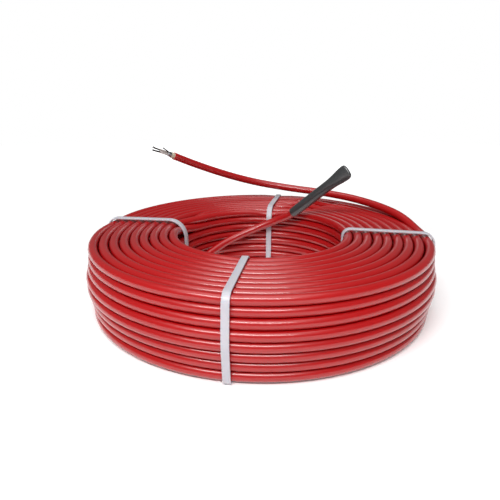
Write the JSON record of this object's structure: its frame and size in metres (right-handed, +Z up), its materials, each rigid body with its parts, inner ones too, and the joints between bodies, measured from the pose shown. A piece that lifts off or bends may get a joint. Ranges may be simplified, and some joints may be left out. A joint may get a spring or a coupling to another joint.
{
  "type": "heating cable",
  "caption": "Coil of red-jacketed heating cable held by white straps, with a stripped cold end and a heat-shrink sealed far end.",
  "frame": {"origin": "on the floor under the strapped coil, on the coil's axis", "axes": "+Z up along the coil's axis as it lies on the floor, +X to the right and +Y away from the viewer of the picture"},
  "size_m": [0.2785, 0.2783, 0.1181],
  "materials": {
    "jacket": "smooth satin PVC",
    "strap": "smooth polypropylene",
    "end_seal": "satin heat-shrink sleeve",
    "inner_sheath": "matt",
    "screen": "foil",
    "core": "matt insulation",
    "conductor": "dull bare wire"
  },
  "bodies": {
    "root": {"cable_coil": "jacket", "outer_tail": "jacket", "inner_tail": "jacket", "strap_front": "strap", "strap_right": "strap", "strap_back": "strap", "strap_left": "strap", "end_seal": "end_seal", "inner_sheath": "inner_sheath", "screen": "screen", "core_a": "core", "core_b": "core", "conductor_a": "conductor", "conductor_b": "conductor", "drain_wire": "conductor"}
  },
  "joints": []
}
